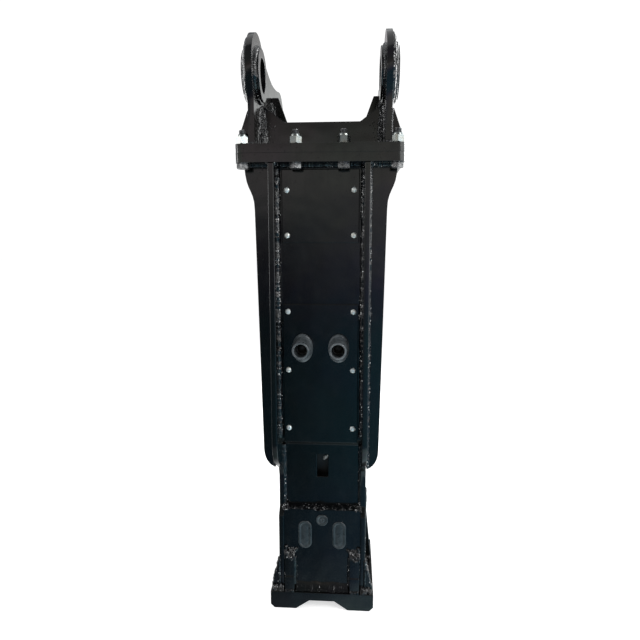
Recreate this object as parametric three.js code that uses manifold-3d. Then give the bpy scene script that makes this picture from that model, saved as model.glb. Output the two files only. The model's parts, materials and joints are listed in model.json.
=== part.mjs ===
// Box-type hydraulic breaker hammer: a welded housing bolted to a two-pin mounting bracket,
// with the power cell (front head, cylinder, back head, piston, valve) inside it.
// Millimetres. X is the width, -Y the front, +Z up. The hammer stands on its foot at Z = 0,
// and the origin is under the middle of its bounding box.
// Depths ("d") are measured backwards from the front edge of the two flanges.

import * as THREE from 'three';
import { mergeVertices } from 'three/addons/utils/BufferGeometryUtils.js';
import Module from 'manifold-3d';

const wasm = await Module();
wasm.setup();

// ---------------------------------------------------------------- driving dimensions

const FRONT_Y = -305;                 // front edge of the flanges
const GAP = 0.3;                      // play between fitted pieces
const AXIS_D = 262;                   // depth of the power cell's axis

const FLANGE = { halfWidth: 216, depth: 480, corner: 20, thick: 23, seam: 1339 };
const FLANGE_TOP = FLANGE.seam + FLANGE.thick;
const FLANGE_BOTTOM = FLANGE.seam - FLANGE.thick;
const FLANGE_MOUTH = { halfWidth: 112, front: 84, back: 364 };

const WALL = { inner: 116, outer: 131, front: 4, lowFront: 136, noseFront: 112, back: 400 };
const WALL_STEP = { top: 568, topPull: 100, bottom: 415, bottomPull: 55, noseTop: 318, noseBottom: 296 };
const WALL_HAUNCH = { back: 470, top: 1296, bottom: 1215 };

const FRONT_PLATE = { front: 68, back: 80, bottom: 556 };
const WINDOWS = [
  { halfWidth: 72, bottom: 600, top: 905 },
  { halfWidth: 72, bottom: 1150, top: 1275 },
];
const REAR_PLATE = { front: 368, back: 380 };
const LOWER_PLATE = { front: 144, back: 156, knee: 512, bottom: 54, lift: 40, kneeRise: 6, edgeRise: 12 };
const SLOT = { width: 34, bottom: 409, top: 480 };

const COVER = { front: 62, halfWidth: 104 };
const LOWER_COVER = { bottom: 550, top: 947 };
const UPPER_COVER = { bottom: 1113, top: 1306 };
const PORT = { x: 50, z: 825, radius: 15 };

const WING = { frontD: 62, backD: 381, thick: 14 };
const WING_EDGE = {
  top: 203, lean: 2, neckTop: 1294, topPull: 45, inPull: 7,
  neck: 177, neckBottom: 1200, bottomPull: 50,
  low: 163.5, lowTop: 528, foot: 472, footRound: 14,
};

const FOOT = { halfWidth: 157, front: 95, back: 400, height: 54, chamfer: 12, hole: 70 };
const NOTCH = { bottom: 79, top: 38, height: 28 };
const NOSE = { front: 120, top: 313 };
const PAD = { inner: 84, outer: 114, front: 100, top: 162, step: 102, stepDepth: 3 };
const SMALL_GUSSET = { d: 113, reach: 152, top: 152 };
const TALL_GUSSET = { d: 292, reach: 154, top: 300 };
const GUSSET = { thick: 14, lip: 8 };

const EAR = {
  inner: 167, thick: 16, front: 26, back: 478, frontRadius: 103, rearRadius: 97,
  shoulder: 112, startAngle: 206, endAngle: -42,
};
const PIN_FRONT = { d: 105, z: 1553 };
const PIN_REAR = { d: 513, z: 1520 };
const SADDLE = {                      // lowest stretch of the ear's top edge
  d: 335, z: 1596, frontPull: 110, frontRise: 8, rearPull: 80, leaveAngle: 58, arriveAngle: 102,
};
const DOUBLER = { thick: 9, inset: 14, startAngle: 232, endAngle: -72 };
const BOSS = { inner: 155, rearInner: 163, outer: 202, radius: 66, bore: 43 };

const CROSS_THICK = 16;
const FRONT_CROSS = { d: 150, rise: 1444, flat: 105, cornerZ: 1490 };
const REAR_CROSS = { d: 325, rise: 1472, flat: 116, cornerZ: 1554, cornerX: 146 };
const EAR_GUSSET = { d: 56, thick: 12, reach: 213, lip: 1390, topX: 190, top: 1455 };

const BOLT = {
  shank: 10, flats: 30, head: 13, washer: 3, washerRadius: 15.5,
  nut: 18, collar: 6, collarRadius: 13, stud: 11,
};
const BOLT_XS = [-199, -62, 62, 199];
const BOLT_DS = [32, 448];
const BOLT_TURNS = [0, 12, 30, 0];    // degrees that each nut stopped at, left to right

const CELL = { halfWidth: 114, front: 158, back: 366, corner: 14 };
const HEAD = { bottom: 54, top: 350, bush: 68.3, bore: 52, bushTop: 180 };
const CYLINDER = { top: 900, striker: 49, chamber: 62.5, rod: 53, chamberBottom: 470, chamberTop: 800 };
const POCKET = { halfWidth: 21, bottom: 400, top: 489, depth: 22 };
const BACK_HEAD = { top: 1262, gas: 56, gasTop: 1150 };
const PISTON = {
  bottom: 332, bodyBottom: 500, bodyTop: 690, top: 960, striker: 48, body: 62, rod: 52, nose: 8,
};
const BUSH = { bottom: 30, top: 178, outer: 68, bore: 50.5, lead: 6 };
const TIE = { x: 90, d: 80, radius: 14, bottom: 200, nut: 26, flats: 42, proud: 8, clearance: 14.5 };
const DAMPER = { halfWidth: 62, halfDepth: 90, corner: 18 };
const VALVE = { halfWidth: 80, front: 96, bottom: 680, top: 890, corner: 8, gallery: 8 };
const SPOOL = {
  d: 127, radius: 24, waist: 19, bottom: 702, top: 848, land: 18, flank: 4, boreBottom: 700, boreTop: 868,
};

const ROD_PIN = { x: 52, z: 232, width: 34, height: 80, front: 160, back: 360 };
const ROD_PLUG = { width: 40, height: 88, front: 117, back: 136 };
const ROUND_PLUG = { z: 280, radius: 17.5, front: 117, back: 136 };

const BOOT = { hole: 16, reach: 62 };
const BOOT_RINGS = [                  // distance in front of the cover, half width and half height
  { out: 0, a: 31, b: 40 },
  { out: 10, a: 31, b: 40 },
  { out: 22, a: 29, b: 35 },
  { out: 46, a: 24, b: 26 },
  { out: 57, a: 23, b: 23 },
  { out: BOOT.reach, a: 20, b: 20 },
];

const COLOURS = {
  paint: { color: 0x14151a, roughness: 0.28, metalness: 0.1 },
  darkSteel: { color: 0x24252a, roughness: 0.45, metalness: 0.6 },
  zinc: { color: 0xb9c2c8, roughness: 0.35, metalness: 0.9 },
  rubber: { color: 0x454a50, roughness: 0.8, metalness: 0.0 },
  casting: { color: 0x3a3c3f, roughness: 0.6, metalness: 0.5 },
  steel: { color: 0x9a9da1, roughness: 0.3, metalness: 1.0 },
  urethane: { color: 0x2a3550, roughness: 0.7, metalness: 0.0 },
};

const CURVE_STEPS = 6;
const ROUND_STEPS = 24;
const BUSH_STEPS = 32;                // the large bores and the pieces that fit them

// ---------------------------------------------------------------- solids and booleans

const yOf = (d) => FRONT_Y + d;
const radians = THREE.MathUtils.degToRad;

function toSolid(geometry) {
  const bare = geometry.clone();
  bare.deleteAttribute('normal');
  bare.deleteAttribute('uv');
  const merged = mergeVertices(bare, 1e-4);
  return new wasm.Manifold(new wasm.Mesh({
    numProp: 3,
    vertProperties: new Float32Array(merged.attributes.position.array),
    triVerts: new Uint32Array(merged.index.array),
  }));
}

function toGeometry(solid) {
  const mesh = solid.getMesh();
  const geometry = new THREE.BufferGeometry();
  geometry.setAttribute('position', new THREE.BufferAttribute(new Float32Array(mesh.vertProperties), 3));
  geometry.setIndex(new THREE.BufferAttribute(new Uint32Array(mesh.triVerts), 1));
  return geometry;
}

function cut(geometry, tools) {
  let solid = toSolid(geometry);
  for (const tool of tools) solid = solid.subtract(toSolid(tool));
  return toGeometry(solid);
}

function join(pieces) {
  let solid = toSolid(pieces[0]);
  for (const piece of pieces.slice(1)) solid = solid.add(toSolid(piece));
  return toGeometry(solid);
}

// ---------------------------------------------------------------- plates, rounds and prisms

function asShape(outline) {
  if (outline instanceof THREE.Shape) return outline;
  return new THREE.Shape(outline.map(([a, b]) => new THREE.Vector2(a, b)));
}

function extrude(outline, depth) {
  const options = { depth, bevelEnabled: false, curveSegments: CURVE_STEPS };
  return new THREE.ExtrudeGeometry(asShape(outline), options);
}

// A plate lying flat: its outline is in X and Y.
function flatPlate(outline, bottom, top) {
  return extrude(outline, top - bottom).translate(0, 0, bottom);
}

// A plate facing the front: its outline is in X and Z.
function facePlate(outline, frontD, backD) {
  const turn = new THREE.Matrix4().makeRotationX(Math.PI / 2);
  return extrude(outline, backD - frontD).applyMatrix4(turn).translate(0, yOf(backD), 0);
}

// A plate facing sideways: its outline is in depth and Z. side is -1 for left, 1 for right.
function sidePlate(outline, inner, outer, side) {
  const axes = new THREE.Matrix4().makeBasis(
    new THREE.Vector3(0, 1, 0),
    new THREE.Vector3(0, 0, 1),
    new THREE.Vector3(1, 0, 0),
  );
  const start = side > 0 ? inner : -outer;
  return extrude(outline, outer - inner).applyMatrix4(axes).translate(start, FRONT_Y, 0);
}

function roundedRectangle(halfWidth, halfHeight, corner, x = 0, y = 0) {
  const shape = new THREE.Shape();
  const [left, right] = [x - halfWidth, x + halfWidth];
  const [low, high] = [y - halfHeight, y + halfHeight];
  shape.moveTo(left + corner, low);
  shape.lineTo(right - corner, low);
  shape.quadraticCurveTo(right, low, right, low + corner);
  shape.lineTo(right, high - corner);
  shape.quadraticCurveTo(right, high, right - corner, high);
  shape.lineTo(left + corner, high);
  shape.quadraticCurveTo(left, high, left, high - corner);
  shape.lineTo(left, low + corner);
  shape.quadraticCurveTo(left, low, left + corner, low);
  return shape;
}

function stadium(width, height, x, z) {
  const radius = width / 2;
  const straight = height / 2 - radius;
  const shape = new THREE.Shape();
  shape.moveTo(x + radius, z - straight);
  shape.lineTo(x + radius, z + straight);
  shape.absarc(x, z + straight, radius, 0, Math.PI, false);
  shape.lineTo(x - radius, z - straight);
  shape.absarc(x, z - straight, radius, Math.PI, 2 * Math.PI, false);
  return shape;
}

function box(x0, x1, d0, d1, z0, z1) {
  return new THREE.BoxGeometry(x1 - x0, d1 - d0, z1 - z0)
    .translate((x0 + x1) / 2, yOf((d0 + d1) / 2), (z0 + z1) / 2);
}

function uprightRound(radius, x, d, z0, z1, steps = ROUND_STEPS) {
  return new THREE.CylinderGeometry(radius, radius, z1 - z0, steps)
    .rotateX(Math.PI / 2).translate(x, yOf(d), (z0 + z1) / 2);
}

function frontRound(radius, x, z, d0, d1, steps = ROUND_STEPS) {
  return new THREE.CylinderGeometry(radius, radius, d1 - d0, steps).translate(x, yOf((d0 + d1) / 2), z);
}

function crossRound(radius, d, z, x0, x1, steps = ROUND_STEPS) {
  return new THREE.CylinderGeometry(radius, radius, x1 - x0, steps)
    .rotateZ(Math.PI / 2).translate((x0 + x1) / 2, yOf(d), z);
}

function hexPrism(flats, x, d, z0, z1, turn) {
  return new THREE.CylinderGeometry(flats / Math.sqrt(3), flats / Math.sqrt(3), z1 - z0, 6)
    .rotateX(Math.PI / 2).rotateZ(turn).translate(x, yOf(d), (z0 + z1) / 2);
}

// A body turned about an upright line; its profile is a list of [radius, z].
function turned(profile, x, d, steps = ROUND_STEPS) {
  const points = profile.map(([radius, z]) => new THREE.Vector2(radius, z));
  return new THREE.LatheGeometry(points, steps).rotateX(Math.PI / 2).translate(x, yOf(d), 0);
}

// ---------------------------------------------------------------- housing

function flangeBlank(bottom) {
  const { halfWidth, depth, corner, thick } = FLANGE;
  const outline = roundedRectangle(halfWidth, depth / 2, corner, 0, yOf(depth / 2));
  const holes = [];
  for (const x of BOLT_XS) {
    for (const d of BOLT_DS) {
      holes.push(uprightRound(BOLT.shank + 1, x, d, bottom - 1, bottom + thick + 1, 16));
    }
  }
  return cut(flatPlate(outline, bottom, bottom + thick), holes);
}

function housingFlange() {
  const { halfWidth, front, back } = FLANGE_MOUTH;
  const mouth = box(-halfWidth, halfWidth, front, back, FLANGE_BOTTOM - 1, FLANGE.seam + 1);
  return cut(flangeBlank(FLANGE_BOTTOM), [mouth]);
}

function wallOutline() {
  const { front, lowFront, noseFront, back } = WALL;
  const { top, topPull, bottom, bottomPull, noseTop, noseBottom } = WALL_STEP;
  const shape = new THREE.Shape();
  shape.moveTo(noseFront, FOOT.height);
  shape.lineTo(back, FOOT.height);
  shape.lineTo(back, WALL_HAUNCH.bottom);
  shape.lineTo(WALL_HAUNCH.back, WALL_HAUNCH.top);
  shape.lineTo(WALL_HAUNCH.back, FLANGE_BOTTOM);
  shape.lineTo(front, FLANGE_BOTTOM);
  shape.lineTo(front, top);
  shape.bezierCurveTo(front, top - topPull, lowFront, bottom + bottomPull, lowFront, bottom);
  shape.lineTo(lowFront, noseTop);
  shape.lineTo(noseFront, noseBottom);
  shape.closePath();
  return shape;
}

function frontPlate() {
  const { front, back, bottom } = FRONT_PLATE;
  const plate = box(-WALL.inner, WALL.inner, front, back, bottom, FLANGE_BOTTOM);
  const windows = WINDOWS.map((w) => box(-w.halfWidth, w.halfWidth, front - 1, back + 1, w.bottom, w.top));
  return cut(plate, windows);
}

// One folded sheet: up the front of the lower housing, then forwards to the front plate.
function lowerFrontPlate() {
  const { front, back, knee, bottom, lift, kneeRise, edgeRise } = LOWER_PLATE;
  const foldD = FRONT_PLATE.back;
  const outline = [
    [front, bottom], [back, bottom], [back, knee + kneeRise],
    [foldD, knee + lift + edgeRise], [foldD, knee + lift], [front, knee],
  ];
  const sheet = sidePlate(outline, -WALL.inner, WALL.inner, 1);
  const holes = [box(-SLOT.width / 2, SLOT.width / 2, front - 1, back + 1, SLOT.bottom, SLOT.top)];
  for (const side of [-1, 1]) holes.push(rodPinHole(side, front - 1, back + 1));
  return cut(sheet, holes);
}

function rearPlate() {
  return box(-WALL.inner, WALL.inner, REAR_PLATE.front, REAR_PLATE.back, FOOT.height, FLANGE_BOTTOM);
}

function cover({ bottom, top }, holes) {
  const plate = box(-COVER.halfWidth, COVER.halfWidth, COVER.front, FRONT_PLATE.front, bottom, top);
  return cut(plate, holes);
}

function lowerCover() {
  const holes = [-1, 1].map((side) => (
    frontRound(PORT.radius + 3, side * PORT.x, PORT.z, COVER.front - 1, FRONT_PLATE.front + 1)
  ));
  return cover(LOWER_COVER, holes);
}

// The flared side web: wide under the flange, a neck, a slow taper, and a rounded foot.
function wingOutline(side) {
  const { top, lean, neckTop, topPull, inPull } = WING_EDGE;
  const { neck, neckBottom, bottomPull, low, lowTop, foot, footRound } = WING_EDGE;
  const shape = new THREE.Shape();
  shape.moveTo(side * WALL.outer, foot);
  shape.lineTo(side * WALL.outer, FLANGE_BOTTOM);
  shape.lineTo(side * top, FLANGE_BOTTOM);
  shape.lineTo(side * (top - lean), neckTop);
  shape.bezierCurveTo(
    side * (top - inPull),
    neckTop - topPull,
    side * neck,
    neckBottom + bottomPull,
    side * neck,
    neckBottom,
  );
  shape.lineTo(side * low, lowTop);
  shape.quadraticCurveTo(side * (low - 1), foot + footRound, side * WALL.outer, foot);
  return shape;
}

// ---------------------------------------------------------------- foot and nose

function footPlate() {
  const { halfWidth, front, back, height, chamfer, hole } = FOOT;
  const outline = [
    [-halfWidth + chamfer, 0], [-NOTCH.bottom, 0], [-NOTCH.top, NOTCH.height],
    [NOTCH.top, NOTCH.height], [NOTCH.bottom, 0], [halfWidth - chamfer, 0],
    [halfWidth, chamfer], [halfWidth, height], [-halfWidth, height], [-halfWidth, chamfer],
  ];
  return cut(facePlate(outline, front, back), [uprightRound(hole, 0, AXIS_D, -1, height + 1, BUSH_STEPS)]);
}

function rodPinHole(side, d0, d1) {
  return facePlate(stadium(ROD_PLUG.width, ROD_PLUG.height, side * ROD_PIN.x, ROD_PIN.z), d0, d1);
}

function noseFrontPlate() {
  const { front, top } = NOSE;
  const back = LOWER_PLATE.front;
  const plate = box(-WALL.inner, WALL.inner, front, back, FOOT.height, top);
  const holes = [-1, 1].map((side) => rodPinHole(side, front - 1, back + 1));
  holes.push(frontRound(ROUND_PLUG.radius, 0, ROUND_PLUG.z, front - 1, back + 1));
  return cut(plate, holes);
}

function nosePad(side) {
  const { inner, outer, front, top, step, stepDepth } = PAD;
  const outline = [
    [front, FOOT.height], [NOSE.front, FOOT.height], [NOSE.front, top],
    [front + stepDepth, top], [front + stepDepth, step], [front, step],
  ];
  return sidePlate(outline, inner, outer, side);
}

function noseGusset(side, { d, reach, top }) {
  const outline = [
    [side * WALL.outer, FOOT.height], [side * reach, FOOT.height],
    [side * reach, FOOT.height + GUSSET.lip], [side * WALL.outer, top],
  ];
  return facePlate(outline, d, d + GUSSET.thick);
}

// ---------------------------------------------------------------- bracket

// Both lobes with a saddle between them; bottom draws the lower edge back to the start.
function earShape(inset, startAngle, endAngle, bottom) {
  const shape = new THREE.Shape();
  const leave = radians(SADDLE.leaveAngle);
  const arrive = radians(SADDLE.arriveAngle);
  const rearRadius = EAR.rearRadius - inset;
  const saddleZ = SADDLE.z - inset;
  shape.absarc(PIN_FRONT.d, PIN_FRONT.z, EAR.frontRadius - inset, radians(startAngle), leave, true);
  shape.quadraticCurveTo(SADDLE.d - SADDLE.frontPull, saddleZ + SADDLE.frontRise, SADDLE.d, saddleZ);
  shape.quadraticCurveTo(
    SADDLE.d + SADDLE.rearPull,
    saddleZ,
    PIN_REAR.d + rearRadius * Math.cos(arrive),
    PIN_REAR.z + rearRadius * Math.sin(arrive),
  );
  shape.absarc(PIN_REAR.d, PIN_REAR.z, rearRadius, arrive, radians(endAngle), true);
  for (const [d, z] of bottom) shape.lineTo(d, z);
  shape.closePath();
  return shape;
}

function bossHoles(x0, x1) {
  return [PIN_FRONT, PIN_REAR].map(({ d, z }) => crossRound(BOSS.radius + GAP, d, z, x0, x1, BUSH_STEPS));
}

function ear(side) {
  const { inner, thick, front, back, shoulder, startAngle, endAngle } = EAR;
  const bottom = [[back, FLANGE_TOP], [front, FLANGE_TOP], [front, FLANGE_TOP + shoulder]];
  const plate = sidePlate(earShape(0, startAngle, endAngle, bottom), inner, inner + thick, side);
  return cut(plate, bossHoles(-FLANGE.halfWidth, FLANGE.halfWidth));
}

function earDoubler(side) {
  const { thick, inset, startAngle, endAngle } = DOUBLER;
  const inner = EAR.inner + EAR.thick;
  const plate = sidePlate(earShape(inset, startAngle, endAngle, []), inner, inner + thick, side);
  return cut(plate, bossHoles(-FLANGE.halfWidth, FLANGE.halfWidth));
}

function pinBoss(side, { d, z }, inner) {
  const [x0, x1] = side > 0 ? [inner, BOSS.outer] : [-BOSS.outer, -inner];
  const bore = crossRound(BOSS.bore, d, z, x0 - 1, x1 + 1, BUSH_STEPS);
  return cut(crossRound(BOSS.radius, d, z, x0, x1, BUSH_STEPS), [bore]);
}

function frontCrossPlate() {
  const { d, rise, flat, cornerZ } = FRONT_CROSS;
  const edge = EAR.inner;
  const outline = [
    [-edge, FLANGE_TOP], [edge, FLANGE_TOP], [edge, cornerZ],
    [flat, rise], [-flat, rise], [-edge, cornerZ],
  ];
  return facePlate(outline, d, d + CROSS_THICK);
}

function rearCrossPlate() {
  const { d, rise, flat, cornerZ, cornerX } = REAR_CROSS;
  const edge = EAR.inner;
  const outline = [
    [-edge, FLANGE_TOP], [edge, FLANGE_TOP], [edge, cornerZ], [cornerX, cornerZ],
    [flat, rise], [-flat, rise], [-cornerX, cornerZ], [-edge, cornerZ],
  ];
  return facePlate(outline, d, d + CROSS_THICK);
}

function earGusset(side) {
  const { d, thick, reach, lip, topX, top } = EAR_GUSSET;
  const root = EAR.inner + EAR.thick;
  const outline = [[root, FLANGE_TOP], [reach, FLANGE_TOP], [reach, lip], [topX, top], [root, top]];
  return facePlate(outline.map(([x, z]) => [side * x, z]), d, d + thick);
}

function flangeBolt(x, d, turn) {
  const washerTop = FLANGE_TOP + BOLT.washer;
  const nutTop = washerTop + BOLT.nut;
  const collarTop = nutTop + BOLT.collar;
  return join([
    hexPrism(BOLT.flats, x, d, FLANGE_BOTTOM - BOLT.head, FLANGE_BOTTOM, 0),
    uprightRound(BOLT.shank, x, d, FLANGE_BOTTOM - 1, collarTop + BOLT.stud, 16),
    uprightRound(BOLT.washerRadius, x, d, FLANGE_TOP, washerTop, 16),
    hexPrism(BOLT.flats, x, d, washerTop - 1, nutTop, turn),
    uprightRound(BOLT.collarRadius, x, d, nutTop - 1, collarTop, 16),
  ]);
}

// ---------------------------------------------------------------- rubber

// An oval base that narrows to the round mouth that a hose passes through.
function hoseBoot(side) {
  const { hole, reach } = BOOT;
  const spans = BOOT_RINGS.length - 1;
  const base = new THREE.CylinderGeometry(1, 1, 1, ROUND_STEPS, spans);
  const position = base.attributes.position;
  for (let i = 0; i < position.count; i += 1) {
    const ring = BOOT_RINGS[Math.round((position.getY(i) + 0.5) * spans)];
    const [u, v] = [position.getX(i), position.getZ(i)];
    position.setXYZ(i, side * PORT.x + ring.a * u, yOf(COVER.front) - ring.out, PORT.z - ring.b * v);
  }
  return cut(base, [frontRound(hole, side * PORT.x, PORT.z, COVER.front - reach - 1, COVER.front + 1)]);
}

function rodPlug(side) {
  const { width, height, front, back } = ROD_PLUG;
  return facePlate(stadium(width - GAP, height - GAP, side * ROD_PIN.x, ROD_PIN.z), front, back);
}

function roundPlug() {
  return frontRound(ROUND_PLUG.radius - GAP, 0, ROUND_PLUG.z, ROUND_PLUG.front, ROUND_PLUG.back);
}

// ---------------------------------------------------------------- power cell

function tiePlaces() {
  const places = [];
  for (const x of [-TIE.x, TIE.x]) {
    for (const d of [AXIS_D - TIE.d, AXIS_D + TIE.d]) places.push([x, d]);
  }
  return places;
}

function cellBlock(bottom, top, bores) {
  const { halfWidth, front, back, corner } = CELL;
  const outline = roundedRectangle(halfWidth, (back - front) / 2, corner, 0, yOf((front + back) / 2));
  const tieBottom = Math.max(bottom - 1, TIE.bottom);
  const ties = tiePlaces().map(([x, d]) => uprightRound(TIE.clearance, x, d, tieBottom, top + 1, 12));
  return cut(flatPlate(outline, bottom, top), [...bores, ...ties]);
}

function frontHead() {
  const { bottom, top, bush, bore, bushTop } = HEAD;
  const pinHoles = [-1, 1].map((side) => (
    facePlate(
      stadium(ROD_PIN.width + 2 * GAP, ROD_PIN.height + 2 * GAP, side * ROD_PIN.x, ROD_PIN.z),
      CELL.front - 1,
      ROD_PIN.back + GAP,
    )
  ));
  return cellBlock(bottom, top, [
    uprightRound(bush, 0, AXIS_D, bottom - 1, bushTop, BUSH_STEPS),
    uprightRound(bore, 0, AXIS_D, bushTop - 1, top + 1),
    ...pinHoles,
  ]);
}

function cylinder() {
  const { top, striker, chamber, rod, chamberBottom, chamberTop } = CYLINDER;
  const { halfWidth, depth } = POCKET;
  return cellBlock(HEAD.top, top, [
    box(-halfWidth, halfWidth, CELL.front - 1, CELL.front + depth, POCKET.bottom, POCKET.top),
    uprightRound(striker, 0, AXIS_D, HEAD.top - 1, chamberBottom + 1),
    uprightRound(chamber, 0, AXIS_D, chamberBottom, chamberTop),
    uprightRound(rod, 0, AXIS_D, chamberTop - 1, top + 1),
  ]);
}

function backHead() {
  const { top, gas, gasTop } = BACK_HEAD;
  return cellBlock(CYLINDER.top, top, [uprightRound(gas, 0, AXIS_D, CYLINDER.top - 1, gasTop)]);
}

function piston() {
  const { bottom, striker, body, rod, bodyBottom, bodyTop, top, nose } = PISTON;
  return turned([
    [0, bottom], [striker - nose, bottom], [striker, bottom + nose], [striker, bodyBottom],
    [body, bodyBottom + nose], [body, bodyTop - nose], [rod, bodyTop],
    [rod, top - nose], [rod - nose, top], [0, top],
  ], 0, AXIS_D);
}

function toolBush() {
  const { bottom, top, outer, bore, lead } = BUSH;
  return turned([
    [bore + lead, bottom], [outer, bottom], [outer, top], [bore, top], [bore, bottom + 2 * lead],
    [bore + lead, bottom],
  ], 0, AXIS_D, BUSH_STEPS);
}

function tieBolt(x, d) {
  return join([
    uprightRound(TIE.radius, x, d, TIE.bottom + GAP, BACK_HEAD.top + TIE.nut + TIE.proud, 12),
    hexPrism(TIE.flats, x, d, BACK_HEAD.top, BACK_HEAD.top + TIE.nut, 0),
  ]);
}

function upperDamper() {
  const { halfWidth, halfDepth, corner } = DAMPER;
  const outline = roundedRectangle(halfWidth, halfDepth, corner, 0, yOf(AXIS_D));
  return flatPlate(outline, BACK_HEAD.top, FLANGE.seam);
}

function valveBody() {
  const { halfWidth, front, bottom, top, corner, gallery } = VALVE;
  const middle = yOf((front + CELL.front) / 2);
  const outline = roundedRectangle(halfWidth, (CELL.front - front) / 2, corner, 0, middle);
  const holes = [
    uprightRound(SPOOL.radius + GAP, 0, SPOOL.d, SPOOL.boreBottom, SPOOL.boreTop),
    crossRound(gallery, SPOOL.d, PORT.z, -PORT.x, PORT.x, 12),
  ];
  for (const side of [-1, 1]) {
    holes.push(frontRound(PORT.radius - 2, side * PORT.x, PORT.z, front - 1, SPOOL.d, 16));
  }
  return cut(flatPlate(outline, bottom, top), holes);
}

function valveSpool() {
  const { d, radius, bottom, top, land, flank, waist } = SPOOL;
  return turned([
    [0, bottom], [radius, bottom], [radius, bottom + land], [waist, bottom + land + flank],
    [waist, top - land - flank], [radius, top - land], [radius, top], [0, top],
  ], 0, d);
}

function rodPin(side) {
  const { x, z, width, height, front, back } = ROD_PIN;
  return facePlate(stadium(width, height, side * x, z), front, back);
}

// ---------------------------------------------------------------- assembly

const hammer = new THREE.Group();

function add(name, geometry, colour) {
  const mesh = new THREE.Mesh(geometry, new THREE.MeshStandardMaterial(COLOURS[colour]));
  mesh.name = name;
  hammer.add(mesh);
}

const SIDES = [['left', -1], ['right', 1]];

add('foot_plate', footPlate(), 'paint');
add('front_plate', frontPlate(), 'paint');
add('lower_front_plate', lowerFrontPlate(), 'paint');
add('nose_front_plate', noseFrontPlate(), 'paint');
add('rear_plate', rearPlate(), 'paint');
add('housing_flange', housingFlange(), 'paint');
add('bracket_flange', flangeBlank(FLANGE.seam), 'paint');
add('front_cross_plate', frontCrossPlate(), 'paint');
add('rear_cross_plate', rearCrossPlate(), 'paint');
add('upper_cover', cover(UPPER_COVER, []), 'paint');
add('lower_cover', lowerCover(), 'paint');

for (const [name, side] of SIDES) {
  add(`side_plate_${name}`, sidePlate(wallOutline(), WALL.inner, WALL.outer, side), 'paint');
  add(`front_wing_${name}`, facePlate(wingOutline(side), WING.frontD, WING.frontD + WING.thick), 'paint');
  add(`rear_wing_${name}`, facePlate(wingOutline(side), WING.backD, WING.backD + WING.thick), 'paint');
  add(`nose_pad_${name}`, nosePad(side), 'paint');
  add(`nose_gusset_${name}`, noseGusset(side, SMALL_GUSSET), 'paint');
  add(`rear_gusset_${name}`, noseGusset(side, TALL_GUSSET), 'paint');
  add(`ear_${name}`, ear(side), 'paint');
  add(`ear_doubler_${name}`, earDoubler(side), 'paint');
  add(`front_pin_boss_${name}`, pinBoss(side, PIN_FRONT, BOSS.inner), 'paint');
  add(`rear_pin_boss_${name}`, pinBoss(side, PIN_REAR, BOSS.rearInner), 'paint');
  add(`ear_gusset_${name}`, earGusset(side), 'paint');
  add(`hose_boot_${name}`, hoseBoot(side), 'rubber');
  add(`pin_plug_${name}`, rodPlug(side), 'rubber');
  add(`retaining_pin_${name}`, rodPin(side), 'steel');
}

for (const [row, d] of [['front', BOLT_DS[0]], ['rear', BOLT_DS[1]]]) {
  BOLT_XS.forEach((x, i) => {
    add(`flange_bolt_${row}_${i + 1}`, flangeBolt(x, d, radians(BOLT_TURNS[i])), 'zinc');
  });
}

add('stop_pin_plug', roundPlug(), 'rubber');
add('front_head', frontHead(), 'casting');
add('cylinder', cylinder(), 'casting');
add('back_head', backHead(), 'casting');
add('piston', piston(), 'steel');
add('tool_bush', toolBush(), 'steel');
add('upper_damper', upperDamper(), 'urethane');
add('valve_body', valveBody(), 'darkSteel');
add('valve_spool', valveSpool(), 'steel');
tiePlaces().forEach(([x, d], i) => add(`through_bolt_${i + 1}`, tieBolt(x, d), 'darkSteel'));

export default hammer;
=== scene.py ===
"""Looks of the hydraulic breaker hammer: painted plates, weld beads, fasteners and rubber parts.

Metres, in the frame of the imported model: X is the width, -Y the front, +Z up.
"""
import json
from functools import partialmethod
from math import cos, hypot, pi, radians, sin, sqrt, tan

import bmesh
import bpy
import numpy as np
from mathutils import Matrix, Vector


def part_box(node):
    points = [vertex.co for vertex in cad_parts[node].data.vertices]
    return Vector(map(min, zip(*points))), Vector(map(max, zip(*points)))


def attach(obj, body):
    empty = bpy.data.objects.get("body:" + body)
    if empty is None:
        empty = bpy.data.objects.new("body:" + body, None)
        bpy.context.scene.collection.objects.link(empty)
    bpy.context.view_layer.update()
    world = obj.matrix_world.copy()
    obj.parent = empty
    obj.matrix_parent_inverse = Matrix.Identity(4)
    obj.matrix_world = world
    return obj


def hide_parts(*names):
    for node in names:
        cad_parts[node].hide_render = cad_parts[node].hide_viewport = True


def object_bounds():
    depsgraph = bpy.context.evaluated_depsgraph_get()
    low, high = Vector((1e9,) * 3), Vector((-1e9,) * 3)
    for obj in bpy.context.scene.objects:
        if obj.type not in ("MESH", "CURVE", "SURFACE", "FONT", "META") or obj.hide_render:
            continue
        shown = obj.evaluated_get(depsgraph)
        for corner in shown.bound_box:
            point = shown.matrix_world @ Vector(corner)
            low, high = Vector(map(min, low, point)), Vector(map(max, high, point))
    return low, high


MM = 0.001
SIDES = (("left", -1), ("right", 1))
X, Y, Z = Vector((1, 0, 0)), Vector((0, 1, 0)), Vector((0, 0, 1))

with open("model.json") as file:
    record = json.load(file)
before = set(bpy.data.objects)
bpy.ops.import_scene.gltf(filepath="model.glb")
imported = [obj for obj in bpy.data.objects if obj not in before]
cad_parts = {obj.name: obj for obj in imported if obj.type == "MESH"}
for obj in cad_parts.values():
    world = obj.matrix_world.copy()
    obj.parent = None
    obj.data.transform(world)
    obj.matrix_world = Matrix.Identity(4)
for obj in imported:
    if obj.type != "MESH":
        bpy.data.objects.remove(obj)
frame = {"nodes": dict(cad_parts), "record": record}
cad_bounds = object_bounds()


def low(node):
    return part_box(node)[0]


def high(node):
    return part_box(node)[1]


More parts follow.
